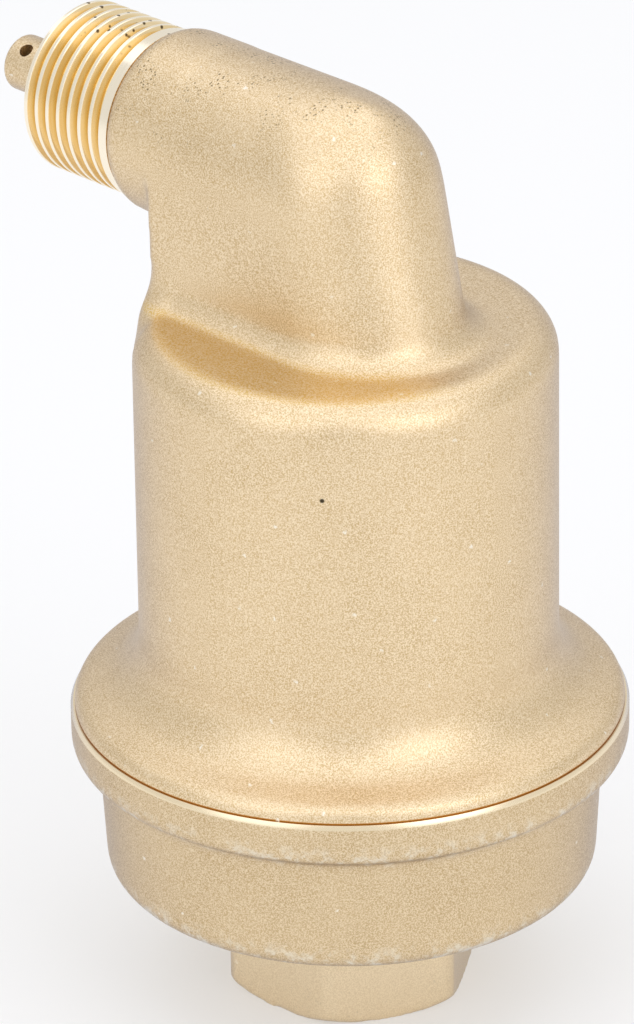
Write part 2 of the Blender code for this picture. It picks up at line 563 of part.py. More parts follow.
def make_bracket(material, vessel):
    """Folded bracket: the channel is cut to an ear with a round end and a flat tongue."""
    start = PIVOT_X - KNUCKLE_RADIUS
    end = -SEAT_OFFSET + BRACKET_EDGE
    section = bracket_section()
    channel = lofted([[(x, y, z) for y, z in section] for x in (start, end)])
    bracket = add_object("lever_bracket", channel, material, vessel)
    below = BRACKET_TOP - SHEET - TRIM
    above = BRACKET_TOP + CUT_PAST
    outline = [(start + TRIM, above)]
    outline += arc((PIVOT_X, PIVOT_HEIGHT), KNUCKLE_RADIUS - TRIM, math.pi, 2 * math.pi,
                   BEND_STEPS)
    outline += [(PIVOT_X + KNUCKLE_RADIUS - TRIM, below), (end + CUT_PAST, below),
                (end + CUT_PAST, above)]
    combine(bracket, plate(outline, EAR_INSIDE + 2 * SHEET), 'INTERSECT',
            "bracket_outline", vessel)
    hole = rod_shape(SEAT_SHANK_RADIUS + FIT_GAP, BRACKET_TOP - 3 * SHEET, BRACKET_TOP + SHEET)
    combine(bracket, aimed(hole, (0, 0, 1), (-SEAT_OFFSET, 0, 0)), 'DIFFERENCE',
            "bracket_seat_hole", vessel)
    pin_hole = rod_shape(PIN_BORE, -EAR_INSIDE - 2 * SHEET, EAR_INSIDE + 2 * SHEET)
    combine(bracket, aimed(pin_hole, (0, 1, 0), (PIVOT_X, 0, PIVOT_HEIGHT)), 'DIFFERENCE',
            "bracket_pin_hole", vessel)


def make_pin(name, clip_name, half_width, material, clip_material, parent):
    """A headed pin along Y and the ring that keeps it in."""
    head_face = half_width + FIT_GAP
    clip_face = half_width + FIT_GAP
    tip = clip_face + CLIP_THICKNESS + FIT_GAP
    profile = [(0, -head_face - PIN_HEAD), (PIN_HEAD_RADIUS, -head_face - PIN_HEAD),
               (PIN_HEAD_RADIUS, -head_face), (PIN_RADIUS, -head_face), (PIN_RADIUS, tip),
               (0, tip)]
    add_object(name, aimed(turned(profile, PIN_STEPS, closed=False), (0, 1, 0)),
               material, parent)
    inner = PIN_BORE
    ring = ring_shape(inner, inner + CLIP_WIDTH, clip_face, clip_face + CLIP_THICKNESS, PIN_STEPS)
    add_object(clip_name, aimed(ring, (0, 1, 0)), clip_material, parent)


def make_lever(material, rubber, pivot):
    """Lever drawn level, as it lies when the valve is shut, and let down by its own swing."""
    slant = LEVER_LENGTH / math.cos(LEVER_SWING) - LEVER_LENGTH
    eye_start = LEVER_LENGTH
    eye_end = LEVER_LENGTH + slant
    eye = PIN_BORE + LEVER_EYE_WALL
    outline = arc((0, 0), KNUCKLE_RADIUS, math.pi / 2, 3 * math.pi / 2, BEND_STEPS)
    outline += [(PAD_DISTANCE, -PAD_CUP_DEPTH)]
    outline += arc((eye_end, 0), eye, -math.pi / 2, math.pi / 2, BEND_STEPS)
    outline += [(eye_start - eye, eye), (PAD_DISTANCE, PAD_CUP_DEPTH)]
    lever = add_object("valve_lever", plate(outline, LEVER_THICKNESS / 2), material, pivot)
    knuckle = rod_shape(KNUCKLE_RADIUS - TRIM, -KNUCKLE_WIDTH / 2, KNUCKLE_WIDTH / 2,
                        SMALL_STEPS)
    combine(lever, aimed(knuckle, (0, 1, 0)), 'UNION', "lever_knuckle", pivot)
    cup_half = PAD_CUP_DEPTH + 2 * TRIM
    cup = rod_shape(PAD_CUP_RADIUS, -cup_half, cup_half, SMALL_STEPS)
    combine(lever, aimed(cup, (0, 0, 1), (PAD_DISTANCE, 0, 0)), 'UNION', "pad_cup", pivot)
    pad_foot = PAD_RISE - PAD_THICKNESS
    pocket = rod_shape(PAD_RADIUS + FIT_GAP, pad_foot - FACE_GAP, PAD_RISE + CUT_PAST,
                       SMALL_STEPS)
    combine(lever, aimed(pocket, (0, 0, 1), (PAD_DISTANCE, 0, 0)), 'DIFFERENCE',
            "pad_pocket", pivot)
    pin_hole = rod_shape(PIN_BORE, -KNUCKLE_WIDTH, KNUCKLE_WIDTH)
    combine(lever, aimed(pin_hole, (0, 1, 0)), 'DIFFERENCE', "lever_pin_hole", pivot)
    slot = plate(slot_outline(eye_start, eye_end, PIN_BORE, EYE_STEPS), LEVER_THICKNESS)
    combine(lever, slot, 'DIFFERENCE', "lever_slot", pivot)
    pad = [(0, pad_foot), (PAD_RADIUS - PAD_EDGE, pad_foot), (PAD_RADIUS, pad_foot + PAD_EDGE),
           (PAD_RADIUS, PAD_RISE - PAD_EDGE), (PAD_RADIUS - PAD_EDGE, PAD_RISE), (0, PAD_RISE)]
    add_object("seal_pad", aimed(turned(pad, SMALL_STEPS, closed=False), (0, 0, 1), (PAD_DISTANCE, 0, 0)),
               rubber, pivot)


def make_float(plastic, steel, brass, carrier):
    """Hollow float of two welded mouldings on a steel rod. Heights are those at rest."""
    lid_bottom = FLOAT_TOP - FLOAT_LID
    rim = lid_bottom - FACE_GAP
    tube = ROD_BORE + FLOAT_TUBE_WALL
    inside = FLOAT_RADIUS - FLOAT_WALL
    floor = FLOAT_BOTTOM + FLOAT_WALL
    shell = [(ROD_BORE, FLOAT_BOTTOM)]
    shell += arc((FLOAT_RADIUS - FLOAT_EDGE, FLOAT_BOTTOM + FLOAT_EDGE), FLOAT_EDGE,
                 -math.pi / 2, 0)
    shell += [(FLOAT_RADIUS, rim), (inside, rim)]
    shell += arc((FLOAT_RADIUS - FLOAT_EDGE, FLOAT_BOTTOM + FLOAT_EDGE), FLOAT_EDGE - FLOAT_WALL,
                 0, -math.pi / 2)
    shell += [(tube, floor), (tube, rim), (ROD_BORE, rim)]
    add_object("float_shell", turned(shell, FLOAT_STEPS), plastic, carrier)
    rib = inside - FIT_GAP
    lid = [(ROD_BORE, lid_bottom), (rib - FLOAT_WALL, lid_bottom),
           (rib - FLOAT_WALL, lid_bottom - FLOAT_LID_RIB), (rib, lid_bottom - FLOAT_LID_RIB),
           (rib, lid_bottom), (FLOAT_RADIUS, lid_bottom),
           (FLOAT_RADIUS, FLOAT_TOP - FLOAT_LID / 2),
           (FLOAT_RADIUS - FLOAT_LID / 2, FLOAT_TOP), (ROD_BORE, FLOAT_TOP)]
    add_object("float_lid", turned(lid, FLOAT_STEPS), plastic, carrier)
    rod_bottom = LEDGE_HEIGHT - ROD_TAIL
    rod_top = LINK_HEIGHT - YOKE_SLOT_DEPTH - YOKE_FLOOR
    add_object("float_rod", rod_shape(ROD_RADIUS, rod_bottom, rod_top, PIN_STEPS, ROD_CHAMFER),
               steel, carrier)
    add_object("float_rod_clip", ring_shape(ROD_BORE, ROD_CLIP_RADIUS, ROD_CLIP_BOTTOM,
                                            ROD_CLIP_BOTTOM + CLIP_THICKNESS, SMALL_STEPS),
               steel, carrier)
    washer = ring_shape(ROD_BORE, WASHER_RADIUS, WASHER_BOTTOM, WASHER_BOTTOM + WASHER_THICKNESS)
    add_object("float_washer", washer, steel, carrier)
    nut_top = NUT_BOTTOM + NUT_HEIGHT
    nut = add_object("float_nut", lofted([hexagon(NUT_ACROSS_FLATS, z)
                                          for z in (NUT_BOTTOM, nut_top)]), brass, carrier)
    combine(nut, rod_shape(ROD_BORE, NUT_BOTTOM - CUT_PAST, nut_top + CUT_PAST), 'DIFFERENCE',
            "nut_bore", carrier)


def make_yoke(plastic, link):
    """Fork at the head of the float's rod, drawn round the pin that works the lever."""
    bottom = YOKE_BOTTOM - LINK_HEIGHT
    corner = YOKE_HALF_LENGTH
    outline = [(-corner, bottom), (corner, bottom)]
    outline += arc((0, YOKE_RISE - corner), corner, 0, math.pi, BEND_STEPS)
    yoke = add_object("float_yoke", plate(outline, YOKE_HALF_WIDTH), plastic, link)
    gap = [(-2 * corner, -YOKE_SLOT_DEPTH), (2 * corner, -YOKE_SLOT_DEPTH),
           (2 * corner, 2 * YOKE_RISE), (-2 * corner, 2 * YOKE_RISE)]
    combine(yoke, plate(gap, YOKE_SLOT), 'DIFFERENCE', "yoke_gap", link)
    socket_top = -YOKE_SLOT_DEPTH - YOKE_FLOOR + FACE_GAP
    combine(yoke, rod_shape(ROD_BORE, bottom - CUT_PAST, socket_top), 'DIFFERENCE',
            "yoke_socket", link)
    pin_hole = rod_shape(PIN_BORE, -2 * YOKE_HALF_WIDTH, 2 * YOKE_HALF_WIDTH)
    combine(yoke, aimed(pin_hole, (0, 1, 0)), 'DIFFERENCE', "yoke_pin_hole", link)


def main():
    clear_scene()
    cast_brass = make_material("blasted_brass", (0.72, 0.56, 0.33), 0.48, 1.0)
    turned_brass = make_material("turned_brass", (0.86, 0.66, 0.33), 0.22, 1.0)
    steel = make_material("stainless_steel", (0.62, 0.62, 0.61), 0.3, 1.0)
    rubber = make_material("seal_rubber", (0.02, 0.02, 0.02), 0.6, 0.0)
    plastic = make_material("float_plastic", (0.80, 0.79, 0.74), 0.4, 0.0)
    acetal = make_material("yoke_plastic", (0.85, 0.85, 0.83), 0.35, 0.0)

    vessel = add_empty("vessel_axis", (VESSEL_X, 0, 0))
    make_upper_housing(cast_brass, vessel)
    make_lower_housing(cast_brass.copy(), vessel)
    make_body_seal(rubber, vessel)
    make_baffle(steel, acetal, vessel)
    make_seat(turned_brass, rubber, vessel)
    make_bracket(steel, vessel)

    pivot_mount = add_empty("pivot_mount", (PIVOT_X, 0, PIVOT_HEIGHT), vessel)
    make_pin("pivot_pin", "pivot_pin_clip", EAR_INSIDE + SHEET, steel, steel, pivot_mount)
    lever_pivot = add_empty("lever_pivot", (PIVOT_X, 0, PIVOT_HEIGHT), vessel)
    lever_pivot.rotation_euler = (0, LEVER_SWING, 0)
    make_lever(turned_brass, rubber, lever_pivot)

    float_carrier = add_empty("float_lift", (0, 0, 0), vessel)
    make_float(plastic, steel, turned_brass, float_carrier)
    link_mount = add_empty("link_mount", (LINK_X, 0, LINK_HEIGHT), float_carrier)
    make_yoke(acetal, link_mount)
    make_pin("link_pin", "link_pin_clip", YOKE_HALF_WIDTH, steel, steel, link_mount)
    bpy.context.view_layer.update()


main()
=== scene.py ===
import math

import bpy
from mathutils import Matrix, Vector


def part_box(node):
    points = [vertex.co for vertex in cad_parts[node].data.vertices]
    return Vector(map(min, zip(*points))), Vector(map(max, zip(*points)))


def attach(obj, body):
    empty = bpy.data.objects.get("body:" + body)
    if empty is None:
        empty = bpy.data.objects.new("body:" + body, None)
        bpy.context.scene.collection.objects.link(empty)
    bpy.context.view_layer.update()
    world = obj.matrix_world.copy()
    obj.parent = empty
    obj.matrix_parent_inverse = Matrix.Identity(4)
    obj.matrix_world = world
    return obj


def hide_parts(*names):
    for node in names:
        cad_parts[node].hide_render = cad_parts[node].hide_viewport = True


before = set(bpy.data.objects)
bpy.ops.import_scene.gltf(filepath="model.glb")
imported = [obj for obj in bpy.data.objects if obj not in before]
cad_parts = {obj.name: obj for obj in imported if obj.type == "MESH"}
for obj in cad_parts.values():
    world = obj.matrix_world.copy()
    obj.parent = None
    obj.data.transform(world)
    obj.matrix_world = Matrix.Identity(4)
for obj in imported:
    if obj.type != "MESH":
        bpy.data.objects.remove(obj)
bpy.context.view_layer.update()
mm = 0.001
print("frame loaded:", len(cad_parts), "nodes")

# The housings' boxes tell where the vessel's axis and the seam are.
lowerLow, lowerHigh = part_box("lower_housing")
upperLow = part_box("upper_housing")[0]
axisX = (lowerLow[0] + lowerHigh[0]) / 2
seamZ = lowerHigh[2]
# the photo's seam lies a little under the CAD's, and the brim ends a hairline above the flange
flangeTopZ = seamZ - 0.36 * mm
brimZ = flangeTopZ + 0.03 * mm
shoulderZ = 87.15 * mm
spoutZ = 104.75 * mm


def deselectAll():
    if bpy.context.object and bpy.context.object.mode != "OBJECT":
        bpy.ops.object.mode_set(mode="OBJECT")
    bpy.ops.object.select_all(action="DESELECT")


def makeActive(piece):
    deselectAll()
    piece.select_set(True)
    bpy.context.view_layer.objects.active = piece


def nameIt(name):
    piece = bpy.context.object
    piece.name = name
    piece.data.name = name
    return piece


def settle(piece):
    # the place goes into the mesh, so the object itself sits at the origin
    makeActive(piece)
    bpy.ops.object.transform_apply(location=True, rotation=True, scale=True)


def addModifier(piece, kind, **settings):
    makeActive(piece)
    modifier = piece.modifiers.new(kind.title(), kind)
    for key, value in settings.items():
        setattr(modifier, key, value)
    bpy.ops.object.modifier_apply(modifier=modifier.name)


def combine(piece, tool, operation):
    addModifier(piece, "BOOLEAN", operation=operation, solver="EXACT", object=tool)
    bpy.data.objects.remove(tool)


def arcPoints(centre, radius, start, end, steps):
    # points of an arc, from one angle to another, in degrees
    points = []
    for step in range(steps + 1):
        angle = math.radians(start + (end - start) * step / steps)
        points.append((centre[0] + radius * math.cos(angle), centre[1] + radius * math.sin(angle)))
    return points


def drawOutline(name, points, closed):
    # a plane is merged into one vertex, which is drawn along the points; stays in edit mode
    deselectAll()
    bpy.ops.mesh.primitive_plane_add(size=1.0)
    piece = nameIt(name)
    bpy.ops.object.mode_set(mode="EDIT")
    bpy.ops.mesh.select_all(action="SELECT")
    bpy.ops.mesh.merge(type="CENTER")
    bpy.ops.transform.translate(value=points[0])
    for last, point in zip(points, points[1:]):
        step = [b - a for a, b in zip(last, point)]
        bpy.ops.mesh.extrude_region_move(TRANSFORM_OT_translate={"value": step})
    bpy.ops.mesh.select_all(action="SELECT")
    if closed:
        bpy.ops.mesh.edge_face_add()
    return piece


def spinOutline(name, outline, steps=192, closed=False):
    # an outline of radius and height is spun round the Z axis
    piece = drawOutline(name, [(radius, 0, height) for radius, height in outline], closed)
    if closed:
        bpy.ops.mesh.delete(type="ONLY_FACE")
        bpy.ops.mesh.select_all(action="SELECT")
    bpy.ops.mesh.spin(steps=steps, angle=math.tau, center=(0, 0, 0), axis=(0, 0, 1))
    bpy.ops.mesh.select_all(action="SELECT")
    bpy.ops.mesh.remove_doubles(threshold=0.002 * mm)
    bpy.ops.mesh.normals_make_consistent(inside=False)
    bpy.ops.object.mode_set(mode="OBJECT")
    return piece


def layAlongSpout(piece):
    # a piece made along +Z is laid along -X on the spout's axis
    piece.matrix_world = Matrix.Translation((axisX, 0, spoutZ)) @ Matrix.Rotation(-math.pi / 2, 4, "Y")
    settle(piece)


def standOnAxis(piece):
    piece.location = (axisX, 0, 0)
    settle(piece)


def smoothShade(piece, degrees):
    makeActive(piece)
    bpy.ops.object.shade_smooth_by_angle(angle=math.radians(degrees))


def relaxWhere(piece, test, repeat):
    # evens out the surface where the test holds
    makeActive(piece)
    bpy.ops.object.mode_set(mode="EDIT")
    bpy.ops.mesh.select_mode(type="VERT")
    bpy.ops.mesh.select_all(action="DESELECT")
    bpy.ops.object.mode_set(mode="OBJECT")
    for vertex in piece.data.vertices:
        vertex.select = test(vertex.co)
    bpy.ops.object.mode_set(mode="EDIT")
    bpy.ops.mesh.vertices_smooth(factor=0.5, repeat=repeat)
    bpy.ops.object.mode_set(mode="OBJECT")


skirt = {"radius": 33.15 * mm, "round": 1.6 * mm, "slope": 68, "fillet": 7 * mm, "rise": 9 * mm}
body = {"radius": 25.2 * mm, "shoulderRound": 4 * mm}


def turnedBody():
    slope = skirt["slope"]
    # the blank starts under the brim, which is cut crisp later
    outline = [(0, brimZ - 2 * mm), (skirt["radius"], brimZ - 2 * mm)]
    outline += arcPoints((skirt["radius"] - skirt["round"], seamZ), skirt["round"], 0, slope, 8)
    centre = (body["radius"] + skirt["fillet"], seamZ + skirt["rise"])
    outline += arcPoints(centre, skirt["fillet"], 180 + slope, 180, 14)
    corner = (body["radius"] - body["shoulderRound"], shoulderZ - body["shoulderRound"])
    outline += arcPoints(corner, body["shoulderRound"], 0, 90, 12)
    outline += [(0, shoulderZ)]
    piece = spinOutline("upperHousing", outline)
    standOnAxis(piece)
    return piece


neck = {
    "halfWidth": 11.6 * mm,
    "sideDraft": 0.012,
    "topRadius": 11.34 * mm,
    "front": 16.2 * mm,
    "frontLean": 12.75,
    "crownRound": 8.7 * mm,
    "back": 25.2 * mm,
    "fillet": 3.0 * mm,
}


def neckRing(height):
    # half width and front end of the neck's plan at one height
    width = neck["halfWidth"] - neck["sideDraft"] * (height - shoulderZ)
    if height > spoutZ:
        width = math.sqrt(max(neck["topRadius"] ** 2 - (height - spoutZ) ** 2, 0))
    front = neck["front"] - (height - shoulderZ) * math.tan(math.radians(neck["frontLean"]))
    crown = height - (spoutZ + neck["topRadius"] - neck["crownRound"])
    if crown > 0:
        front -= neck["crownRound"] - math.sqrt(max(neck["crownRound"] ** 2 - crown ** 2, 0))
    foot = shoulderZ + neck["fillet"] - height
    if foot > 0:
        flare = neck["fillet"] - math.sqrt(max(neck["fillet"] ** 2 - foot ** 2, 0))
        width += flare
        front += flare
    return width, front


def neckHeights():
    heights = [shoulderZ + neck["fillet"] * (1 - math.cos(math.radians(a))) for a in range(0, 91, 10)]
    heights += [shoulderZ + (spoutZ - shoulderZ) * k / 8 for k in range(2, 9)]
    heights += [spoutZ + neck["topRadius"] * math.sin(math.radians(a)) for a in range(5, 86, 5)]
    # the last ring stops just short of the crown's edge, where the width would be nothing
    return heights + [spoutZ + neck["topRadius"] * 0.9995]


def neckBlock():
    # the plan is drawn once, then raised ring by ring and narrowed to each height's width
    foot = shoulderZ - 2 * mm
    heights = neckHeights()
    width, front = neckRing(heights[0])
    reach = math.degrees(math.asin(width / neck["back"]))
    plan = arcPoints((front - width, 0), width, -90, 90, 48)
    plan += arcPoints((0, 0), neck["back"], 180 - reach, 180 + reach, 16)
    piece = drawOutline("neckBlock", [(x, y, foot) for x, y in plan], True)
    last = (width, front, foot)
    for height in heights:
        width, front = neckRing(height)
        bpy.ops.mesh.extrude_region_move(TRANSFORM_OT_translate={"value": (0, 0, height - last[2])})
        stretch = (front + neck["back"]) / (last[1] + neck["back"])
        bpy.ops.transform.resize(value=(stretch, width / last[0], 1),
                                 center_override=(-neck["back"], 0, height))
        last = (width, front, height)
    bpy.ops.mesh.select_all(action="SELECT")
    bpy.ops.mesh.normals_make_consistent(inside=False)
    bpy.ops.object.mode_set(mode="OBJECT")
    standOnAxis(piece)
    return piece


spout = {
    "radius": 11.4 * mm,
    "rootRadius": 11.1 * mm,
    "flareStart": 17 * mm,
    "flareEnd": 20.5 * mm,
    "end": 29.0 * mm,
    "round": 2.0 * mm,
    "lip": 1.1 * mm,
}


def spoutCasting():
    outline = [(0, 0), (spout["rootRadius"], 0), (spout["rootRadius"], spout["flareStart"]),
               (spout["radius"], spout["flareEnd"])]
    corner = (spout["radius"] - spout["round"], spout["end"] - spout["round"])
    outline += arcPoints(corner, spout["round"], 0, 60, 6)
    outline += [(spout["radius"] - spout["lip"], spout["end"]), (0, spout["end"])]
    piece = spinOutline("spoutCasting", outline, 128)
    layAlongSpout(piece)
    return piece


thread = {
    "radius": 10.478 * mm,
    "pitch": 1.8143 * mm,
    "depth": 1.0 * mm,
    "start": 29.5 * mm,
    "face": 43.8 * mm,
    "chamfer": 0.45 * mm,
}
nipple = {"radius": 3.45 * mm, "end": 54.0 * mm, "round": 0.6 * mm, "bore": 1.5 * mm, "boreStart": 8 * mm}
crossHole = {"radius": 0.9 * mm, "inset": 2.75 * mm, "tilt": 55, "length": 7 * mm}
chamber = {"radius": 22 * mm, "roof": 83.95 * mm, "fillet": 2.5 * mm}
passage = {"radius": 8.2 * mm, "centre": 11 * mm, "roof": 99.75 * mm}
seatWell = {
    "offset": 8 * mm,
    "radius": 4.6 * mm,
    "mouth": 98 * mm,
    "floor": 101.45 * mm,
    "shankRadius": 3.2 * mm,
    "roof": 105.2 * mm,
}


def innerCuts():
    # chamber, passage to the seat, seat well, vent and cross hole, as one cutter
    outline = [(0, brimZ - 20 * mm), (chamber["radius"], brimZ - 20 * mm)]
    outline += arcPoints((chamber["radius"] - chamber["fillet"], chamber["roof"] - chamber["fillet"]),
                         chamber["fillet"], 0, 90, 6)
    outline += [(0, chamber["roof"])]
    cutter = spinOutline("chamberCut", outline, 128)
    standOnAxis(cutter)
    bottom = chamber["roof"] - mm
    slot = arcPoints((0, 0), passage["radius"], -90, 90, 32)
    slot += arcPoints((-passage["centre"], 0), passage["radius"], 90, 270, 32)
    piece = drawOutline("passageCut", [(x, y, bottom) for x, y in slot], True)
    bpy.ops.mesh.extrude_region_move(TRANSFORM_OT_translate={"value": (0, 0, passage["roof"] - bottom)})
    bpy.ops.mesh.select_all(action="SELECT")
    bpy.ops.mesh.normals_make_consistent(inside=False)
    bpy.ops.object.mode_set(mode="OBJECT")
    standOnAxis(piece)
    combine(cutter, piece, "UNION")
    wide, narrow = seatWell["radius"], seatWell["shankRadius"]
    well = spinOutline("wellCut", [
        (0, seatWell["mouth"]), (wide, seatWell["mouth"]), (wide, seatWell["floor"]),
        (narrow, seatWell["floor"]), (narrow, seatWell["roof"]), (0, seatWell["roof"])], 64)
    well.location = (axisX - seatWell["offset"], 0, 0)
    settle(well)
    combine(cutter, well, "UNION")
    vent = spinOutline("ventCut", [(0, nipple["boreStart"]), (nipple["bore"], nipple["boreStart"]),
                                   (nipple["bore"], nipple["end"] + mm), (0, nipple["end"] + mm)], 64)
    layAlongSpout(vent)
    combine(cutter, vent, "UNION")
    deselectAll()
    bpy.ops.mesh.primitive_cylinder_add(vertices=48, radius=crossHole["radius"], depth=crossHole["length"],
                                        location=(0, 0, crossHole["length"] / 2))
    hole = nameIt("crossCut")
    settle(hole)
    tilt = Matrix.Rotation(math.radians(90 - crossHole["tilt"]), 4, "X")
    place = Matrix.Translation((axisX - nipple["end"] + crossHole["inset"], 0, spoutZ))
    hole.matrix_world = place @ tilt
    settle(hole)
    combine(cutter, hole, "UNION")
    return cutter


def nippleStem():
    # the core keeps inside the thread's roots and end face, and starts deep in the casting
    start = 20 * mm
    core = thread["radius"] - thread["depth"] - 0.3 * mm
    face = thread["face"] - 0.4 * mm
    outline = [(0, start), (core, start), (core, face), (nipple["radius"], face)]
    outline += arcPoints((nipple["radius"] - nipple["round"], nipple["end"] - nipple["round"]),
                         nipple["round"], 0, 90, 6)
    outline += [(0, nipple["end"])]
    stem = spinOutline("nippleStem", outline, 128)
    layAlongSpout(stem)
    return stem


spigot = {"radius": 26 * mm, "tipRadius": 25.2 * mm, "lead": 0.8 * mm}


def spigotStem():
    foot = upperLow[2]
    piece = spinOutline("spigotStem", [(0, foot), (spigot["tipRadius"], foot),
                                       (spigot["radius"], foot + spigot["lead"]),
                                       (spigot["radius"], brimZ + mm), (0, brimZ + mm)], 160)
    standOnAxis(piece)
    return piece


def brimEnvelope():
    # all that lies above the brim's crisp lower face
    reach = 80 * mm
    piece = spinOutline("brimEnvelope", [(0, brimZ), (reach, brimZ), (reach, 2 * reach), (0, 2 * reach)], 64)
    standOnAxis(piece)
    return piece


blend = {
    "voxel": 0.45 * mm,
    "smoothing": 8,
    "filletStart": 17 * mm,
    "filletPasses": ((9 * mm, 8), (5 * mm, 40)),
}


def makeUpperHousing():
    casting = turnedBody()
    combine(casting, neckBlock(), "UNION")
    combine(casting, spoutCasting(), "UNION")
    addModifier(casting, "REMESH", mode="VOXEL", voxel_size=blend["voxel"], adaptivity=0)
    addModifier(casting, "SMOOTH", factor=0.5, iterations=blend["smoothing"])
    # the neck's back runs into the shoulder in a wide fillet
    filletX = axisX - blend["filletStart"]
    for reach, repeat in blend["filletPasses"]:
        relaxWhere(casting, lambda co: co.x < filletX and abs(co.z - shoulderZ) < reach, repeat)
    combine(casting, brimEnvelope(), "INTERSECT")
    combine(casting, nippleStem(), "UNION")
    combine(casting, spigotStem(), "UNION")
    combine(casting, innerCuts(), "DIFFERENCE")
    smoothShade(casting, 38)
    return casting


upperHousing = makeUpperHousing()
print("upper housing:", len(upperHousing.data.polygons), "faces")


def threadTooth():
    # one tooth along the axis: root, flank, crest, flank
    pitch = thread["pitch"]
    root = thread["radius"] - thread["depth"]
    crest = thread["radius"]
    return [(root, 0, 0), (root + 0.06 * mm, 0, 0.14 * pitch), (crest - 0.08 * mm, 0, 0.34 * pitch),
            (crest, 0, 0.40 * pitch), (crest, 0, 0.60 * pitch), (crest - 0.08 * mm, 0, 0.66 * pitch),
            (root + 0.06 * mm, 0, 0.86 * pitch), (root, 0, pitch)]


collarRing = {"radius": 10.6 * mm, "end": 30.3 * mm, "bevel": 0.2 * mm}


def makeSpoutThread():
    # a right-handed helix, trimmed at both ends, with the plain collar against the casting
    pitch = thread["pitch"]
    piece = drawOutline("spoutThread", threadTooth(), False)
    bpy.ops.object.mode_set(mode="OBJECT")
    addModifier(piece, "SCREW", angle=math.tau, screw_offset=pitch, iterations=11, steps=128,
                render_steps=128, use_merge_vertices=True, merge_threshold=0.001 * mm,
                use_smooth_shade=True)
    piece.location = (0, 0, thread["start"] - 3 * pitch)
    settle(piece)
    bpy.ops.object.mode_set(mode="EDIT")
    for height, normal in ((thread["start"] - 0.6 * mm, -1), (thread["face"] + mm, 1)):
        bpy.ops.mesh.select_all(action="SELECT")
        bpy.ops.mesh.bisect(plane_co=(0, 0, height), plane_no=(0, 0, normal), clear_outer=True,
                            use_fill=True, threshold=0.0005 * mm)
    bpy.ops.mesh.select_all(action="SELECT")
    bpy.ops.mesh.remove_doubles(threshold=0.001 * mm)
    bpy.ops.mesh.normals_make_consistent(inside=False)
    bpy.ops.object.mode_set(mode="OBJECT")
    start = spout["end"] - 0.2 * mm
    radius, end, bevel = collarRing["radius"], collarRing["end"], collarRing["bevel"]
    collar = spinOutline("collar", [(0, start), (radius, start), (radius, end - bevel), (radius - bevel, end),
                                    (0, end)], 128)
    combine(piece, collar, "UNION")
    inside = nipple["radius"] + 0.02 * mm
    outside = thread["radius"] + mm
    envelope = spinOutline("envelope", [
        (inside, thread["start"] - 2 * mm), (outside, thread["start"] - 2 * mm),
        (outside, thread["face"] - thread["chamfer"] - mm),
        (thread["radius"] - thread["chamfer"], thread["face"]), (inside, thread["face"])], 128, closed=True)
    combine(piece, envelope, "INTERSECT")
    layAlongSpout(piece)
    smoothShade(piece, 25)
    return piece


spoutThread = makeSpoutThread()
print("spout thread:", len(spoutThread.data.polygons), "faces")

lower = {
    "flangeRadius": 33.65 * mm,
    "flangeThickness": 6.4 * mm,
    "flangeRound": 2.1 * mm,
    "ringWidth": 0.3 * mm,
    "ringHeight": 0.52 * mm,
    "cupRadius": 30.4 * mm,
    "cupDraft": 0.7 * mm,
    "cupCorner": 2.6 * mm,
    "cupCone": 10.6,
    "coneStart": 15.2 * mm,
    "hexHeight": 13.35 * mm,
    "hexFlats": 27.7 * mm,
    "hexTurn": -57,
    "hexFace": 13.95 * mm,
    "hexTurned": 15.6 * mm,
    "hexSlope": 33,
}
flangeZ = seamZ - lower["flangeThickness"]


def turnedCup():
    foot = lower["cupRadius"] - lower["cupDraft"]
    cone = math.radians(lower["cupCone"])
    cornerX = foot - lower["cupCorner"]
    cornerZ = (lower["hexHeight"] + (cornerX - lower["coneStart"]) * math.tan(cone)
               + lower["cupCorner"] / math.cos(cone))
    # the cone starts inside the hexagon, so that the two join
    sunk = 3 * mm
    outline = [(0, lower["hexHeight"] - sunk), (lower["coneStart"] - sunk, lower["hexHeight"] - sunk),
               (lower["coneStart"], lower["hexHeight"])]
    outline += arcPoints((cornerX, cornerZ), lower["cupCorner"], -90 + lower["cupCone"], 0, 8)
    outline += [(lower["cupRadius"], flangeZ - mm), (lower["cupRadius"] + 0.3 * mm, flangeZ - 0.1 * mm)]
    corner = (lower["flangeRadius"] - lower["flangeRound"], flangeZ + lower["flangeRound"])
    outline += arcPoints(corner, lower["flangeRound"], -80, 0, 8)
    # the blank stands taller than the turned seam, which is cut later
    outline += [(lower["flangeRadius"], seamZ + mm), (0, seamZ + mm)]
    piece = spinOutline("lowerHousing", outline)
    standOnAxis(piece)
    return piece


def hexagonBoss():
    corner = lower["hexFlats"] / 2 / math.cos(math.pi / 6)
    height = lower["hexHeight"] + 1.5 * mm
    deselectAll()
    bpy.ops.mesh.primitive_cylinder_add(vertices=6, radius=corner, depth=height,
                                        location=(0, 0, height / 2))
    piece = nameIt("hexagonBoss")
    piece.rotation_euler = (0, 0, math.radians(lower["hexTurn"] - 90))
    settle(piece)
    rise = (lower["hexTurned"] - lower["hexFace"]) * math.tan(math.radians(lower["hexSlope"]))
    envelope = spinOutline("hexEnvelope", [(0, 0), (lower["hexFace"], 0), (lower["hexTurned"], rise),
                                           (lower["hexTurned"], height + mm), (0, height + mm)], 128)
    combine(piece, envelope, "INTERSECT")
    standOnAxis(piece)
    return piece


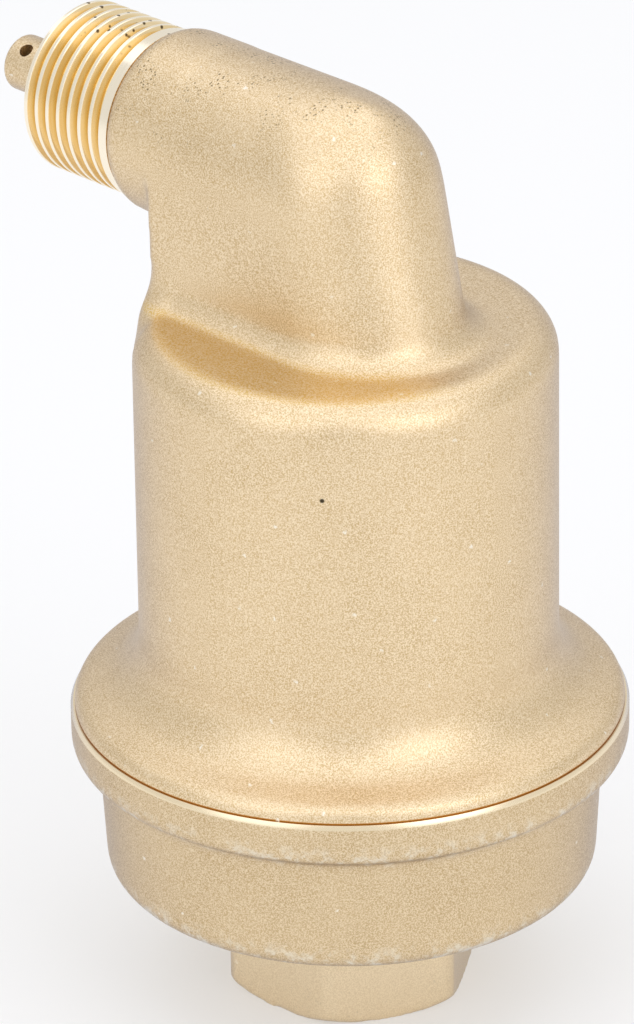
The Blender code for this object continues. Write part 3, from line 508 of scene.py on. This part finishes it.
inlet = {
    "radius": 9.32 * mm,
    "chamfer": 2.2 * mm,
    "chamferDepth": 1.2 * mm,
    "threadStart": 1.6 * mm,
    "threadDepth": 0.9 * mm,
    "turns": 8,
    "floor": 17.3 * mm,
}
cup = {
    "floorRadius": 24.1 * mm,
    "floorRound": 3 * mm,
    "ledge": 24.7 * mm,
    "bore": 26.3 * mm,
    "pocket": 28.6 * mm,
    "pocketDepth": 2.6 * mm,
}


def cupCuts():
    # inlet with its thread as fine rings, then the cup's floor, ledge and seal pocket
    outline = [(0, -mm), (inlet["radius"] + inlet["chamfer"], -mm), (inlet["radius"], inlet["chamferDepth"])]
    pitch = thread["pitch"]
    deep = inlet["radius"] + inlet["threadDepth"]
    for turn in range(inlet["turns"]):
        z = inlet["threadStart"] + pitch * turn
        outline += [(inlet["radius"], z), (deep, z + 0.45 * pitch), (deep, z + 0.55 * pitch),
                    (inlet["radius"], z + 0.98 * pitch)]
    outline += [(inlet["radius"], inlet["floor"])]
    outline += arcPoints((cup["floorRadius"] - cup["floorRound"], inlet["floor"] + cup["floorRound"]),
                         cup["floorRound"], -90, 0, 6)
    pocketFoot = seamZ - cup["pocketDepth"]
    outline += [(cup["floorRadius"], cup["ledge"]), (cup["bore"], cup["ledge"]),
                (cup["bore"], pocketFoot), (cup["pocket"], pocketFoot),
                (cup["pocket"], seamZ + 3 * mm), (0, seamZ + 3 * mm)]
    cutter = spinOutline("cupCut", outline, 160)
    standOnAxis(cutter)
    return cutter


def seamEnvelope():
    # turned faces round the seam: the flat top and the bright, steep chamfer of the ring
    outer = lower["flangeRadius"]
    ringFoot = flangeTopZ - lower["ringHeight"]
    outline = [(0, -mm), (outer + mm, -mm), (outer + mm, ringFoot - 1.3 * mm), (outer, ringFoot),
               (outer - lower["ringWidth"], flangeTopZ), (0, flangeTopZ)]
    piece = spinOutline("seamEnvelope", outline, 256)
    standOnAxis(piece)
    return piece


def makeLowerHousing():
    casting = turnedCup()
    combine(casting, hexagonBoss(), "UNION")
    addModifier(casting, "REMESH", mode="VOXEL", voxel_size=0.42 * mm, adaptivity=0)
    addModifier(casting, "SMOOTH", factor=0.5, iterations=5)
    # the flange's round runs into the cup in a soft hollow
    relaxWhere(casting, lambda co: flangeZ - 1.6 * mm < co.z < flangeZ + 0.8 * mm
               and math.hypot(co.x - axisX, co.y) > 29 * mm, 24)
    combine(casting, seamEnvelope(), "INTERSECT")
    combine(casting, cupCuts(), "DIFFERENCE")
    smoothShade(casting, 38)
    return casting


lowerHousing = makeLowerHousing()
print("lower housing:", len(lowerHousing.data.polygons), "faces")


def linear(hexCode):
    values = [int(hexCode[i:i + 2], 16) / 255 for i in (1, 3, 5)]
    values = [v / 12.92 if v <= 0.04045 else ((v + 0.055) / 1.055) ** 2.4 for v in values]
    return (*values, 1.0)


def perMm(size):
    return 1 / (size * mm)


def addNode(material, kind, settings=None, links=None):
    # settings holds properties and socket values, links holds what goes into a socket
    tree = material.node_tree
    node = tree.nodes.new(kind)
    for key, value in (settings or {}).items():
        if isinstance(key, str) and hasattr(node, key):
            setattr(node, key, value)
        else:
            node.inputs[key].default_value = value
    for key, source in (links or {}).items():
        tree.links.new(source, node.inputs[key])
    return node


def startMaterial(name, settings):
    material = bpy.data.materials.new(name)
    material.use_nodes = True
    shader = material.node_tree.nodes["Principled BSDF"]
    for key, value in settings.items():
        shader.inputs[key].default_value = value
    place = addNode(material, "ShaderNodeTexCoord").outputs["Object"]
    return material, shader, place


def spread(material, source, low, high, start=0.0, end=1.0):
    # turns the range low..high of a value into start..end
    node = addNode(material, "ShaderNodeMapRange", {"From Min": low, "From Max": high, "To Min": start,
                                                    "To Max": end}, {"Value": source})
    return node.outputs["Result"]


def both(material, first, second):
    return addNode(material, "ShaderNodeMath", {"operation": "MULTIPLY"}, {0: first, 1: second}).outputs[0]


def larger(material, first, second):
    return addNode(material, "ShaderNodeMath", {"operation": "MAXIMUM"}, {0: first, 1: second}).outputs[0]


def paint(material, factor, under, over):
    # a colour is a hex code or comes from another node
    node = addNode(material, "ShaderNodeMix", {"data_type": "RGBA"}, {"Factor": factor})
    for key, colour in (("A", under), ("B", over)):
        if isinstance(colour, str):
            node.inputs[key].default_value = linear(colour)
        else:
            material.node_tree.links.new(colour, node.inputs[key])
    return node.outputs["Result"]


def noise(material, place, size, detail, roughness=0.5):
    # size is the coarsest grain, in mm
    node = addNode(material, "ShaderNodeTexNoise", {"Scale": perMm(size), "Detail": detail,
                                                    "Roughness": roughness}, {"Vector": place})
    return node.outputs


def cells(material, place, size):
    # distance to the nearest of many scattered points, about size mm apart
    node = addNode(material, "ShaderNodeTexVoronoi", {"Scale": perMm(size)}, {"Vector": place})
    return node.outputs["Distance"]


def band(material, source, rise, fall, top=1.0):
    # a mask between two ramps; each gives the value where it is 0, then the one where it is full
    return both(material, spread(material, source, *rise), spread(material, source, *fall, 0.0, top))


def wireShader(material, shader, colour, rough, height, strength, depth):
    # depth is the bump's height in mm; without a colour, the one on the shader's own socket stays
    bump = addNode(material, "ShaderNodeBump", {"Strength": strength, "Distance": depth * mm},
                   {"Height": height})
    for key, source in (("Base Color", colour), ("Roughness", rough), ("Normal", bump.outputs["Normal"])):
        if source is not None:
            material.node_tree.links.new(source, shader.inputs[key])
    return bump


grit = {"grain": 0.17, "depth": 0.036, "cloud": 9.0, "pitCell": 0.5, "pitPatch": 4.0, "nickCell": 4.0}
speck = {"place": (axisX + 15.43 * mm, -19.92 * mm, 75.82 * mm), "edge": 0.34 * mm, "core": 0.2 * mm}


def pitMask(material, place, axes, isLower):
    # small dark pores in patches: low on the cup, or along the neck's crown and beside the thread
    pit = spread(material, cells(material, place, grit["pitCell"]), 0.34, 0.16)
    patch = noise(material, place, grit["pitPatch"], 3.0)["Fac"]
    pit = both(material, pit, spread(material, patch, 0.5, 0.6))
    if isLower:
        return both(material, pit, spread(material, axes["Z"], 22 * mm, 12 * mm, 0.0, 0.4))
    crown = spread(material, axes["Z"], spoutZ + 6.5 * mm, spoutZ + 9.5 * mm)
    nearThread = both(material, spread(material, axes["X"], axisX - 13 * mm, axisX - 20 * mm),
                      spread(material, axes["Z"], spoutZ - mm, spoutZ + 4 * mm))
    pit = both(material, pit, larger(material, crown, nearThread))
    # the nipple has none
    return both(material, pit, spread(material, axes["X"], axisX - 31 * mm, axisX - 29 * mm))


def nickMask(material, place):
    # a few small scuffs everywhere, of uneven shape because a noise shifts the place
    wobble = noise(material, place, 0.5, 2.0)["Color"]
    moved = addNode(material, "ShaderNodeVectorMath", {"operation": "MULTIPLY_ADD", 1: (0.9 * mm,) * 3},
                    {0: wobble, 2: place})
    return spread(material, cells(material, moved.outputs[0], grit["nickCell"]), 0.075, 0.035, 0.0, 0.75)


def dustMask(material, place, height):
    # dust and scuffs along the flange's lower edge and the cup's foot
    smear = noise(material, place, 1.6, 5.0, 0.7)["Fac"]
    flange = band(material, height, (flangeZ - 1.5 * mm, flangeZ), (flangeZ + 3.5 * mm, flangeZ + mm))
    foot = band(material, height, (13 * mm, 14.5 * mm), (19.5 * mm, 17 * mm))
    return both(material, larger(material, flange, foot), spread(material, smear, 0.49, 0.61, 0.0, 0.85))


def blastedBrass(name, tones, isLower):
    # cast brass under grit: pale and matt with an even fine grain, soft warm clouds, a few pits and dusty
    # white scuffs; in places reflections, shade and light are painted into the colour
    material, shader, place = startMaterial(name, {"Metallic": 1.0, "Specular Tint": linear("#ccd4ea")})
    axes = addNode(material, "ShaderNodeSeparateXYZ", None, {"Vector": place}).outputs
    height = axes["Z"]
    fine = noise(material, place, grit["grain"], 2.0, 0.6)["Fac"]
    cloud = noise(material, place, grit["cloud"], 4.0, 0.6)["Fac"]
    dull, clear, bright = tones
    colour = paint(material, spread(material, cloud, 0.35, 0.65), dull, clear)
    if not isLower:
        # the shoulder's flat top beside the neck is painted a deeper gold: a painted reflection of the neck's
        # side
        neckReflection = band(material, height, (shoulderZ - 0.5 * mm, shoulderZ - 0.1 * mm),
                   (shoulderZ + 0.7 * mm, shoulderZ + 0.15 * mm), 0.7)
        neckReflection = both(material, neckReflection, spread(material, axes["Y"], -4 * mm, -9 * mm))
        colour = paint(material, neckReflection, colour, "#ecc55f")
    colour = paint(material, spread(material, fine, 0.39, 0.61), colour, bright)
    if not isLower:
        # the seam just above the brim's edge is painted deep gold: painted shade with a warm painted
        # reflection of the turned ring
        seamShadeAndReflection = band(material, height, (brimZ - 0.1 * mm, brimZ - 0.05 * mm),
                    (brimZ + 0.2 * mm, brimZ + 0.12 * mm))
        colour = paint(material, seamShadeAndReflection, colour, "#b87a30")
    pit = pitMask(material, place, axes, isLower)
    colour = paint(material, pit, colour, "#9c8966")
    colour = paint(material, nickMask(material, place), colour, "#fff8ea")
    # one dark speck on the bell's front
    fromSpeck = addNode(material, "ShaderNodeVectorMath", {"operation": "DISTANCE", 1: speck["place"]},
                        {0: place}).outputs["Value"]
    colour = paint(material, spread(material, fromSpeck, speck["edge"], speck["core"]), colour, "#4a4233")
    rough = spread(material, fine, 0.3, 0.7, 0.36, 0.46)
    if isLower:
        # the seam's ring is turned after blasting: bright, with no grit
        ringFoot = flangeTopZ - lower["ringHeight"]
        turned = spread(material, height, ringFoot - 0.06 * mm, ringFoot + 0.02 * mm)
        colour = paint(material, turned, colour, "#f8e6c4")
        rough = addNode(material, "ShaderNodeMix", {"data_type": "FLOAT", "B": 0.26},
                        {"Factor": turned, "A": rough}).outputs["Result"]
        # the hexagon is painted paler: painted light that lifts it out of the cup's shadow
        hexagonPaintedLight = spread(material, height, 14 * mm, 12 * mm, 0.0, 0.5)
        colour = paint(material, hexagonPaintedLight, colour, "#fdebcb")
        colour = paint(material, dustMask(material, place, height), colour, "#f4ecda")
    relief = addNode(material, "ShaderNodeMath", {"operation": "SUBTRACT"}, {0: fine, 1: pit}).outputs[0]
    bump = wireShader(material, shader, colour, rough, relief, 1.0, grit["depth"])
    if isLower:
        material.node_tree.links.new(spread(material, turned, 1.0, 0.0), bump.inputs["Strength"])
    return material


def turnedBrass(name, isThread):
    # free-cutting brass straight from the lathe: bright and pale, with fine tool rings
    material, shader, place = startMaterial(name, {"Metallic": 1.0})
    stretch = addNode(material, "ShaderNodeMapping", {"Scale": (1, 0.02, 0.02)}, {"Vector": place})
    rings = noise(material, stretch.outputs[0], 0.25, 2.0)["Fac"]
    colour = paint(material, spread(material, rings, 0.35, 0.65), "#f5dba8", "#fdeac4")
    if isThread:
        # deep gold painted into the roots as shade, pale crests as a painted highlight, a few dark nicks on
        # top
        across = addNode(material, "ShaderNodeVectorMath", {"operation": "MULTIPLY_ADD", 1: (0, 1, 1),
                                                            2: (0, 0, -spoutZ)}, {0: place})
        radius = addNode(material, "ShaderNodeVectorMath", {"operation": "LENGTH"},
                         {0: across.outputs[0]}).outputs["Value"]
        crest = thread["radius"]
        outOfRootShade = spread(material, radius, crest - 0.95 * mm, crest - 0.45 * mm)
        colour = paint(material, outOfRootShade, "#e9c880", colour)
        crestHighlight = spread(material, radius, crest - 0.1 * mm, crest - 0.02 * mm)
        colour = paint(material, crestHighlight, colour, "#fff4de")
        axes = addNode(material, "ShaderNodeSeparateXYZ", None, {"Vector": place}).outputs
        mark = both(material, spread(material, cells(material, place, 1.5), 0.2, 0.13),
                    spread(material, axes["Z"], spoutZ + 8.8 * mm, spoutZ + 9.8 * mm))
        colour = paint(material, mark, colour, "#6b583c")
    rough = spread(material, rings, 0.3, 0.7, 0.14, 0.24)
    wireShader(material, shader, colour, rough, rings, 0.25, 0.01)
    return material


def plainFinish(name, colour, metallic, roughness, grain, depth):
    # an even finish with a slight unevenness of its gloss
    material, shader, place = startMaterial(name, {"Metallic": metallic, "Base Color": linear(colour)})
    uneven = noise(material, place, grain, 3.0)["Fac"]
    rough = spread(material, uneven, 0.0, 1.0, roughness - 0.06, roughness + 0.06)
    wireShader(material, shader, None, rough, uneven, 0.3, depth)
    return material


upperBrass = blastedBrass("blastedBrassUpper", ("#cfb282", "#dabe90", "#f7e3c2"), False)
# the lower housing's tones are darker than the upper's: painted shade on the cup
lowerBrass = blastedBrass("blastedBrassLower", ("#c4a87c", "#cfb489", "#ecd8b6"), True)
threadBrass = turnedBrass("turnedBrassThread", True)
machinedBrass = turnedBrass("turnedBrassPlain", False)
rolledSteel = plainFinish("rolledStainless", "#b9b9b6", 1.0, 0.3, 0.3, 0.01)
nitrile = plainFinish("mouldedNitrile", "#1c1c1d", 0.0, 0.6, 0.4, 0.02)
polypropylene = plainFinish("mouldedPolypropylene", "#dedcd0", 0.0, 0.42, 0.5, 0.02)
acetal = plainFinish("mouldedAcetal", "#e6e5df", 0.0, 0.35, 0.5, 0.015)


def finishPiece(piece, material):
    piece.data.materials.clear()
    piece.data.materials.append(material)


for piece, material, slotName, stands in (
        (upperHousing, upperBrass, "blasted_brass", ("upper_housing",)),
        (lowerHousing, lowerBrass, "blasted_brass_lower", ("lower_housing",)),
        (spoutThread, threadBrass, "turned_brass", ())):
    finishPiece(piece, material)
    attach(piece, "housing")
    if stands:
        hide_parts(*stands)

innerFinish = {
    "baffle_plate": rolledSteel, "lever_bracket": rolledSteel, "pivot_pin": rolledSteel,
    "pivot_pin_clip": rolledSteel, "float_rod": rolledSteel, "float_rod_clip": rolledSteel,
    "float_washer": rolledSteel, "link_pin": rolledSteel, "link_pin_clip": rolledSteel,
    "body_seal_ring": nitrile, "seat_seal_ring": nitrile, "seal_pad": nitrile,
    "float_shell": polypropylene, "float_lid": polypropylene,
    "rod_guide_bush": acetal, "float_yoke": acetal,
    "valve_seat": machinedBrass, "valve_lever": machinedBrass, "float_nut": machinedBrass,
}
for nodeName, material in innerFinish.items():
    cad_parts[nodeName].material_slots[0].material = material
print("materials set")


studio = {
    "floorSize": 6,
    "floorColour": "#c4c4c4",
    "floorGlow": 0.37,
    "worldStrength": 0.79,
    "lampColour": (0.95, 0.98, 1.09),
    "lampTargetZ": 62 * mm,
}


def makeStage():
    # white paper: it reads as white in the picture and in reflections, and keeps the shadow
    deselectAll()
    bpy.ops.mesh.primitive_plane_add(size=studio["floorSize"], location=(0, 0, -0.02 * mm))
    floor = nameIt("floor")
    settle(floor)
    material, shader, _ = startMaterial("paleFloor", {
        "Base Color": linear(studio["floorColour"]), "Roughness": 0.9, "Emission Color": linear("#ffffff")})
    rays = addNode(material, "ShaderNodeLightPath").outputs
    seen = larger(material, rays["Is Camera Ray"], rays["Is Glossy Ray"])
    seen = larger(material, seen, rays["Is Transmission Ray"])
    glow = addNode(material, "ShaderNodeMath", {"operation": "MULTIPLY", 1: studio["floorGlow"]}, {0: seen})
    material.node_tree.links.new(glow.outputs[0], shader.inputs["Emission Strength"])
    finishPiece(floor, material)


camera = {
    "azimuth": 44.68,
    "elevation": 26.3,
    "roll": -0.858,
    "distance": 950 * mm,
    "targetZ": 62.05 * mm,
    "sideways": -3.636 * mm,
    "focalPixels": 7978,
    "frameHeight": 1024,
}


def awayFrom(azimuth, elevation):
    # direction from the object, counted from the camera's own azimuth to its right
    turn = math.radians(azimuth + camera["azimuth"])
    lift = math.radians(elevation)
    return Vector((math.sin(turn) * math.cos(lift), -math.cos(turn) * math.cos(lift), math.sin(lift)))


def areaLamp(name, azimuth, elevation, distance, size, power):
    away = awayFrom(azimuth, elevation)
    deselectAll()
    target = Vector((axisX, 0, studio["lampTargetZ"]))
    bpy.ops.object.light_add(type="AREA", location=target + away * distance)
    lamp = bpy.context.object
    lamp.name = name
    lamp.data.shape = "RECTANGLE"
    lamp.data.size, lamp.data.size_y = size
    lamp.data.energy = power
    lamp.data.color = studio["lampColour"]
    lamp.rotation_euler = away.to_track_quat("Z", "Y").to_euler()


def makeCamera():
    back = awayFrom(0, camera["elevation"])
    turn = math.radians(camera["azimuth"])
    right = Vector((math.cos(turn), math.sin(turn), 0))
    up = back.cross(right)
    aim = Vector((axisX, 0, camera["targetZ"])) + right * camera["sideways"]
    roll = math.radians(camera["roll"])
    tiltedRight = right * math.cos(roll) + up * math.sin(roll)
    tiltedUp = up * math.cos(roll) - right * math.sin(roll)
    deselectAll()
    bpy.ops.object.camera_add(location=aim + back * camera["distance"])
    eye = bpy.context.object
    eye.name = "photoCamera"
    eye.rotation_euler = Matrix((tiltedRight, tiltedUp, back)).transposed().to_euler()
    eye.data.sensor_width = 36
    eye.data.lens = camera["focalPixels"] * eye.data.sensor_width / camera["frameHeight"]
    eye.data.clip_start = 0.05
    bpy.context.scene.camera = eye


def makeWorld():
    world = bpy.data.worlds.new("studio")
    bpy.context.scene.world = world
    world.use_nodes = True
    backdrop = world.node_tree.nodes["Background"]
    backdrop.inputs["Color"].default_value = (1, 1, 1, 1)
    backdrop.inputs["Strength"].default_value = studio["worldStrength"]


makeStage()
areaLamp("leftSoftbox", -38, 26, 0.8, (0.5, 0.7), 0.75)
areaLamp("rightSoftbox", 38, 26, 0.8, (0.5, 0.7), 1.25)
areaLamp("leftOverhead", -50, 62, 0.8, (0.8, 0.8), 0.8)
areaLamp("rightOverhead", 50, 62, 0.8, (0.8, 0.8), 0.7)
areaLamp("backOverhead", 180, 68, 0.9, (1.2, 0.7), 1.35)
makeWorld()
makeCamera()
bpy.context.scene.view_settings.view_transform = "Standard"
print("stage, lamps and camera set")
